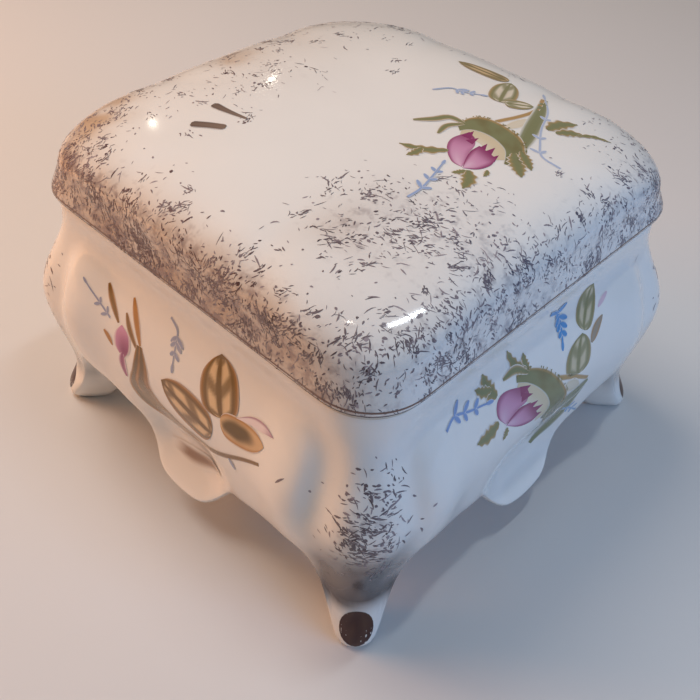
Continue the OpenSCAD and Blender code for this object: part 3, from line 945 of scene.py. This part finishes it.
def sprig_of_leaves(sheet):
    """A long stem with outlined leaves and a narrow bud."""
    stalk = mix(OLIVE, OLIVE_GOLD, 0.25)
    for points, half, core in ((((-20.8, 43.8), (-19.0, 41.4), (-16.4, 38.4)), 0.95, stalk),
                               (((-13.9, 44.4), (-12.0, 41.2), (-9.8, 37.4)), 0.9, OLIVE_GOLD),
                               (((-14.8, 41.2), (-13.2, 38.8), (-10.4, 36.2)), 0.8, stalk),
                               (((-20.0, 35.2), (-18.6, 34.4), (-17.4, 33.2)), 0.7, OLIVE_GOLD)):
        dash(sheet, points, half, core, OLIVE_GOLD)

    def strands(s, t):
        """A bundle of mossy strands: dark olive between golden streaks that wander along the stem."""
        streak = 0.5 + 0.5 * math.sin(7.5 * t + 2.2 * math.sin(5 * s) + 0.8)
        gold = max(0.85 * streak ** 3, step(0.6, 1.0, abs(t)))
        return soft(mix(OLIVE, OLIVE_GOLD, gold * (0.75 + 0.6 * clumps((s * 14, t * 2, 0), 1.0))), t, 0.86)

    between(sheet,
            [(-10.8, 37.2), (-11.6, 32.0), (-13.4, 26.4), (-10.6, 22.4), (-4.8, 20.9), (2.0, 22.8),
             (6.2, 25.6)],
            [(-9.2, 37.4), (-7.1, 34.2), (-6.0, 30.6), (-3.4, 28.0), (0.4, 26.6), (4.0, 26.6), (6.6, 26.8)],
            strands, 44, 20)
    stem(sheet, [(4.0, 26.2), (9.0, 27.2), (13.4, 29.3), (18.2, 32.3), (22.9, 35.0)], 0.85,
         mix(OLIVE, OLIVE_GOLD, 0.2), 0.6)
    sprig(sheet, [(-18.8, 38.2), (-21.4, 39.4), (-26.2, 41.8)], 2, 1.6, BLUE_GREY, 0.3, 0.2)
    between(sheet, [(-15.6, 38.4), (-17.0, 36.4), (-16.8, 33.8), (-14.8, 32.4)],
            [(-15.2, 38.5), (-12.8, 37.4), (-12.3, 34.8), (-13.8, 32.4)],
            lambda s, t: soft(mix(PINK, PINK_DARK, min(step(0.1, 0.75, s) * step(-1.2, 0.2, t), 1)), t, 0.7))
    dash(sheet, [(-14.4, 33.2), (-14.5, 30.8), (-13.8, 28.0)], 1.15, PINK_DARK, PINK)
    sprig(sheet, [(-4.2, 45.8), (-2.0, 44.6), (-1.4, 42.4), (-1.0, 38.6)], 3, 2.1, BLUE_GREY, 0.3, 0.5)
    outlined_leaf(sheet, (12.8, 36.8), (8.8, 46.3), 5.2, 4.1)
    outlined_leaf(sheet, (10.9, 32.6), (-3.2, 34.6), 4.4, 3.4, cells=3.6)

    def dappled(s, t):
        """Soft gold with a dark rim and an olive blotch in its middle."""
        ragged = t * 1.5 + 0.25 * clumps((s * 6, t, 0), 1.0)
        blotch = 1 - step(0.5, 1.15, math.hypot((s - 0.45) * 3.4, ragged))
        rim = step(0.62, 0.92, abs(t))
        return soft(mix(mix(LEAF_PALE, OLIVE_GOLD, 0.35 + 0.65 * rim), OLIVE, blotch), t, 0.88)

    between(sheet, *leaf_edges((12.3, 36.3), (23.0, 38.4), 2.1, 3.0), dappled, 30, 16)
    between(sheet, [(15.6, 38.8), (18.6, 41.0), (21.6, 41.7), (24.5, 41.1)],
            [(15.6, 38.8), (18.4, 39.5), (21.2, 40.0), (24.5, 41.1)],
            lambda s, t: soft(mix(mix(PINK_PALE, GLAZE, 0.6), PINK_DARK,
                                  0.7 * max(step(0.3, 0.8, -t), step(0.65, 1.0, s))), t, 0.85))

    def groove_shade(s, t):
        """A brown band along the groove over the lobe, fading into the glaze all round: painted shade in that
        groove.
        """
        thin = max(step(0.1, 0.95, abs(t)), 1 - step(0.0, 0.3, s), step(0.75, 1.0, s), 0.1)
        return mix(mix(BROWN, OLIVE_GOLD, 0.35), GLAZE, thin)

    brush(sheet, [(-6.0, 14.4), (0.2, 15.0), (5.2, 16.8), (9.6, 18.4)],
          lambda s: 2.3 * math.sin(math.pi * mix(0.12, 0.94, s)), groove_shade, 24, 12)
    dash(sheet, [(15.2, 30.0), (16.8, 28.4)], 0.5, BLUE_GREY)


# %% Right face
def sprig_of_roses(sheet, dice):
    """A rosebud with a mossy cap, blue sprigs and leaves over it."""
    stem(sheet, [(3.6, 36.2), (9.0, 33.4), (14.6, 29.6)], 0.65, MOSS_RIM, 0.3)
    dash(sheet, [(5.6, 32.6), (8.6, 31.6), (11.4, 29.6)], 1.5, mix(MOSS_PALE, GLAZE, 0.3), MOSS_PALE)
    dash(sheet, [(14.8, 29.0), (11.6, 26.6), (9.6, 22.4), (7.6, 18.6), (4.6, 15.8)], 2.1, MOSS, MOSS)
    dash(sheet, [(2.0, 27.6), (6.4, 27.6), (10.6, 27.8), (14.8, 28.8)], 1.9, MOSS, MOSS)
    rosebud(sheet, (-7.8, 36.8), (-1.3, 0.44), (0.64, -1.04), dice)
    for base, tip, half in (((-12.7, 41.8), (-14.9, 47.0), 1.5), ((-13.6, 43.6), (-17.2, 45.4), 1.0),
                            ((-13.2, 37.3), (-19.2, 36.8), 1.5), ((-11.2, 35.0), (-12.4, 33.0), 0.7),
                            ((-3.8, 41.6), (-4.3, 45.2), 1.0), ((-4.2, 42.0), (-8.4, 47.8), 1.0)):
        solid_leaf(sheet, base, tip, half, 0.1)
    dash(sheet, [(-4.0, 41.6), (-7.0, 43.6), (-10.4, 43.6)], 0.85, MOSS, MOSS_RIM)
    sprig(sheet, [(-25.8, 43.6), (-23.2, 44.4), (-19.4, 43.1), (-14.9, 42.0)], 3, 2.2, BLUE, 0.32, 0.35)
    sprig(sheet, [(4.0, 48.2), (6.2, 47.2), (6.6, 44.8), (6.3, 41.8)], 4, 2.6, BLUE_BRIGHT, 0.5, 0.3)
    green = dict(dark=MOSS, light=mix(MOSS, MOSS_RIM, 0.5), inner=mix(MOSS_PALE, MOSS, 0.15))
    outlined_leaf(sheet, (11.0, 33.0), (12.4, 40.6), 5.1, 3.1, cells=2.8, **green)
    outlined_leaf(sheet, (13.2, 40.7), (17.6, 47.6), 3.7, 2.0, cells=2.8, **green)
    solid_leaf(sheet, (14.9, 37.4), (19.0, 41.0), 1.3, 0.06, mix(OLIVE, GLAZE, 0.25), OLIVE_GOLD, 0)
    dash(sheet, [(18.0, 42.9), (21.2, 44.4)], 0.6, mix(PINK, GLAZE, 0.45))
    sprig(sheet, [(9.4, 23.8), (12.0, 22.4), (14.6, 20.2)], 2, 1.8, mix(BLUE_BRIGHT, GLAZE, 0.3), 0.4)


# %% [markdown]
# ## The spray on the lid
#
# The lid carries the same rosebud with leaves round it and blue sprigs, and a few loose dashes of a
# brush towards its left side. Its points are x and y of the box, and they are dropped from above.

# %% Spray and dashes of the lid
# The dashes' gold is drawn dull brown: a painted dark reflection in place of shining metal.
LUSTRE = colour("#86705f")
DASHES = (([(-19.1, -23.3), (-16.4, -21.6), (-13.7, -20.1)], 1.05, 0.1),
          ([(-21.4, -16.6), (-17.6, -16.4), (-13.3, -15.8)], 1.0, 0.7))  # points, half width, taper


def lid_spray(sheet, dice):
    """The lid's spray: a rosebud, leaves round it, blue sprigs and loose dashes of the brush."""
    stem(sheet, [(15.6, 16.4), (17.0, 21.8), (17.2, 26.4), (15.2, 31.6)], 0.6, MOSS_RIM, 0.2)
    dash(sheet, [(18.0, 16.2), (18.4, 19.0), (18.6, 22.0)], 1.2, mix(MOSS_PALE, GLAZE, 0.3), MOSS_PALE)
    dash(sheet, [(24.2, 9.4), (22.8, 15.0), (20.6, 20.6), (18.6, 25.4), (15.6, 31.6)], 1.7, MOSS, MOSS)
    rosebud(sheet, (18.8, 4.8), (-0.14, -0.99), (0.99, -0.14), dice)
    for base, tip, half in (((16.3, 2.4), (9.4, -2.2), 1.15), ((12.9, -0.4), (12.6, -4.0), 0.9),
                            ((22.2, 0.4), (24.8, -4.2), 1.35), ((21.9, 0.0), (20.8, -2.2), 0.65),
                            ((24.2, 2.9), (24.9, 1.0), 0.5), ((22.6, 22.2), (24.6, 29.0), 1.6),
                            ((24.2, 22.6), (28.0, 26.8), 1.2), ((26.8, 25.4), (31.4, 30.0), 0.6)):
        solid_leaf(sheet, base, tip, half, 0.1)
    dash(sheet, [(12.4, 11.4), (9.4, 11.0), (8.0, 8.4), (5.8, 5.4)], 0.95, MOSS, MOSS_RIM)
    dash(sheet, [(12.6, 11.2), (11.0, 8.4), (11.6, 5.2)], 0.75, MOSS, MOSS_RIM)
    green = dict(dark=MOSS, light=MOSS_RIM, inner=mix(MOSS_PALE, GLAZE, 0.3))
    outlined_leaf(sheet, (11.6, 22.8), (7.8, 31.4), 2.9, 2.5, cells=2.4, **green)
    outlined_leaf(sheet, (12.2, 23.4), (16.2, 27.0), 1.6, 1.9, cells=2.0, **green)
    outlined_leaf(sheet, (7.0, 31.6), (-4.4, 30.4), 1.9, 1.7, mix(MOSS, OLIVE, 0.5), MOSS_RIM,
                  mix(LEAF_PALE, MOSS_RIM, 0.3), 2.2)
    sprig(sheet, [(0.8, 16.4), (2.6, 19.6), (5.0, 20.2), (8.0, 22.2)], 3, 1.7, mix(BLUE, GLAZE, 0.25),
          0.26, 0.5)
    sprig(sheet, [(20.6, -12.6), (20.5, -9.2), (19.4, -5.0), (18.2, -1.3)], 3, 1.9, mix(BLUE, GLAZE, 0.15),
          0.3, 0.35)
    sprig(sheet, [(31.2, 14.0), (27.3, 14.0), (24.6, 17.2), (21.8, 21.6), (19.0, 27.6), (14.4, 33.0)], 3, 1.8,
          mix(BLUE, GLAZE, 0.35), 0.3, 0.25)

    def painted_dark_gold(s, t):
        """Gold drawn dull brown, a painted dark reflection, darker where the brush was set down and at the
        edges.
        """
        return soft(mix(LUSTRE, MAROON, 0.3 * (1 - s) + 0.25 * step(0.2, 0.9, abs(t))), t, 0.85)

    for points, half, thin in DASHES:
        brush(sheet, points, lambda s, h=half, k=thin: h * (1 - k * s) * min(1, 7 * s + 0.5, 7.5 - 7 * s),
              painted_dark_gold, 16, 8)
    brush(sheet, [(-40.2, -21.0), (-37.8, -19.6)], lambda s: 0.5, lambda s, t: soft(MAROON, t, 0.7), 6, 4)


# %% [markdown]
# ## Printing the five transfers
#
# The photograph shows the front and the right face. Such boxes carry their transfers in pairs, so the
# back repeats the front, and the left repeats the right. A canvas turns a flat point into a ray from
# outside the box, and each transfer becomes one mesh.

# %% Transfers on the walls and on the lid
FACES = {"front": 0, "right": 90, "back": 180, "left": 270}
BEFORE_WALL, OVER_LID = -80, 100  # where the rays start, clear of the box


def face_canvas(enamel, turn):
    """Drops points onto one of the four walls, seen from outside."""
    spin = Matrix.Rotation(math.radians(turn), 3, "Z")
    return lambda u, v: enamel.drop(spin @ Vector((u, BEFORE_WALL, v)) * MM, spin @ Vector((0, 1, 0)))


def lid_canvas(enamel):
    """Drops points onto the lid, seen from above."""
    return lambda u, v: enamel.drop(Vector((u, v, OVER_LID)) * MM, Vector((0, 0, -1)))


for name, turn in FACES.items():
    enamel = Enamel(body)
    sheet = (enamel, face_canvas(enamel, turn))
    if name in ("front", "back"):
        sprig_of_leaves(sheet)
    else:
        sprig_of_roses(sheet, random.Random(turn + 1))
    enamel.make("transfer_" + name, TRANSFER, "box")
enamel = Enamel(lid)
lid_spray((enamel, lid_canvas(enamel)), random.Random(5))
enamel.make("transfer_lid", TRANSFER, "lid")

# %% [markdown]
# ## The cake of seal paste
#
# Seal paste is vermilion ground with oil and fibre. It is soft and a little shiny, darker in patches, and
# light sinks a little way into it. The user stirs it with a spatula, so its top lies in turned ridges: a
# spiral wave and some noise lift the points of the CAD cake's top.

# %% Vermilion paste
VERMILION = colour("#c4230f")
VERMILION_DARK = colour("#9c1509")


def seal_paste_material(name):
    """Vermilion seal paste: soft, oily and fibrous, with darker patches."""
    material, tree, place = new_material(name)
    stirred = add(tree, "ShaderNodeMix",
                  {0: ranged(tree, place, 6, 0.0, 1.0, 4.0), 6: (*VERMILION, 1), 7: (*VERMILION_DARK, 1)},
                  data_type="RGBA")
    fibre = add(tree, "ShaderNodeTexNoise",
                {"Vector": place, "Scale": 1 / (0.8 * MM), "Detail": 5.0, "Distortion": 1.5})
    relief = add(tree, "ShaderNodeBump",
                 {"Height": fibre.outputs["Fac"], "Strength": 0.6, "Distance": 0.15 * MM})
    finish_material(tree, {
        "Base Color": stirred.outputs[2],
        "Roughness": ranged(tree, place, 4, 0.38, 0.62),
        "Subsurface Weight": 0.1,
        "Subsurface Radius": (1.0, 0.2, 0.1),
        "Subsurface Scale": 0.8 * MM,
        "Normal": relief.outputs["Normal"],
    })
    return material


PASTE = seal_paste_material("vermilion_seal_paste")

# %% The stirred cake
STIRRED_FROM, STIRRED_FULL = 27, 30  # heights between which the ridges set in

paste = smooth_copy("seal_paste", "seal_paste_cake", "box", [PASTE], 2)
for vertex in paste.data.vertices:
    x, y, z = vertex.co / MM
    if z > STIRRED_FROM:
        reach = math.hypot(x, y)
        swirl = math.sin(math.atan2(y, x) * 3 + reach * 0.42 + 2 * clumps((x, y, 0), 14.0))
        ridge = 0.45 * swirl + 0.35 * clumps((x, y, 3), 5.0)
        vertex.co.z += (ridge - 0.3) * step(STIRRED_FROM, STIRRED_FULL, z) * MM
tint(paste, lambda point, normal: VERMILION)
print("cake of paste:", len(paste.data.polygons), "faces")

# %% [markdown]
# ## Floor and light
#
# The box stands on pale matt paper. A wide lamp hangs overhead, a warm one stands on the left and a cool
# one on the right, as the light falls in the photograph. A glossy glaze would mirror those big lamps as
# plain squares, so they are hidden from its reflections. Small lamps are set so that the glaze mirrors
# them where the photograph shows glints: a window in five strips and three sparks.


# %% Floor
def studio_floor(name):
    """Matte pale paper under the box."""
    material, tree, _ = new_material(name)
    finish_material(tree, {"Base Color": (*colour("#d9d8d6"), 1), "Roughness": 0.9})
    return material


bpy.ops.mesh.primitive_plane_add(size=6, location=(0, 0, 0))
floor = bpy.context.object
floor.name = "studio_floor"
floor.data.materials.append(studio_floor("pale_paper"))
print("floor:", floor.name)


# %% Lamps and world
def area_light(name, at, aim, size, watts, shade, mirrored=True):
    """A square soft lamp at one point, in millimetres, turned to another; mirrored in the glaze or not."""
    lamp = bpy.data.lights.new(name, "AREA")
    lamp.size, lamp.energy, lamp.color = size * MM, watts, colour(shade)
    made = bpy.data.objects.new(name, lamp)
    made.location = Vector(at) * MM
    made.rotation_euler = (Vector(aim) - Vector(at)).to_track_quat("-Z", "Y").to_euler()
    made.visible_glossy = mirrored
    bpy.context.scene.collection.objects.link(made)


area_light("overhead", (-260, -60, 520), (0, 0, 50), 300, 1.6, "#fff2e8", False)
area_light("warm_left", (-380, -240, 170), (0, 0, 30), 240, 1.25, "#ffae68", False)
area_light("cool_right", (420, 60, 190), (0, 0, 30), 240, 0.75, "#8cc0ff", False)
for strip in range(5):
    area_light("window_glint", (60, 12 + 15 * strip, 352), (37, -30, 65), 15, 0.03, "#e8f4ff")
area_light("spark_glint", (0, -40, 364), (31, -37, 65), 8, 0.008, "#fff4e0")
area_light("lamp_glint", (-269, 86, 200), (-24, -27, 68), 4.5, 0.003, "#fff4e0")
area_light("far_glint", (-233, 172, 191), (-22, -3, 69), 3.5, 0.0014, "#fff4e0")

WORLD_STRENGTH = 0.19
world = bpy.data.worlds.new("studio")
bpy.context.scene.world = world
world.use_nodes = True
background = world.node_tree.nodes["Background"]
background.inputs["Color"].default_value = (*colour("#f2f0ee"), 1)
background.inputs["Strength"].default_value = WORLD_STRENGTH
print("lamps:", len(bpy.data.lights))

# %% [markdown]
# ## Camera
#
# The camera stands where the photograph was taken from. Its place, aim, roll and lens were fitted by
# matching the lid's corners, and a small shift of the lens puts the box where it sits in the picture.

# %% The photograph's camera
EYE, AIM = Vector((92.13, -102.49, 146.13)), Vector((17.56, -14.25, 34.4))
ROLL, LENS, SENSOR = math.radians(4.56), 45.26, 36

camera = bpy.data.objects.new("photo_camera", bpy.data.cameras.new("photo_camera"))
bpy.context.scene.collection.objects.link(camera)
camera.data.lens, camera.data.sensor_width = LENS, SENSOR
camera.data.shift_x, camera.data.shift_y = -0.0329, 0.0053
camera.data.clip_start, camera.data.clip_end = 0.01, 20
turn = (AIM - EYE).to_track_quat("-Z", "Y").to_matrix() @ Matrix.Rotation(ROLL, 3, "Z")
camera.matrix_world = Matrix.Translation(EYE * MM) @ turn.to_4x4()
bpy.context.scene.camera = camera
bpy.context.scene.view_settings.view_transform = "Standard"
print("camera at", EYE, "millimetres")
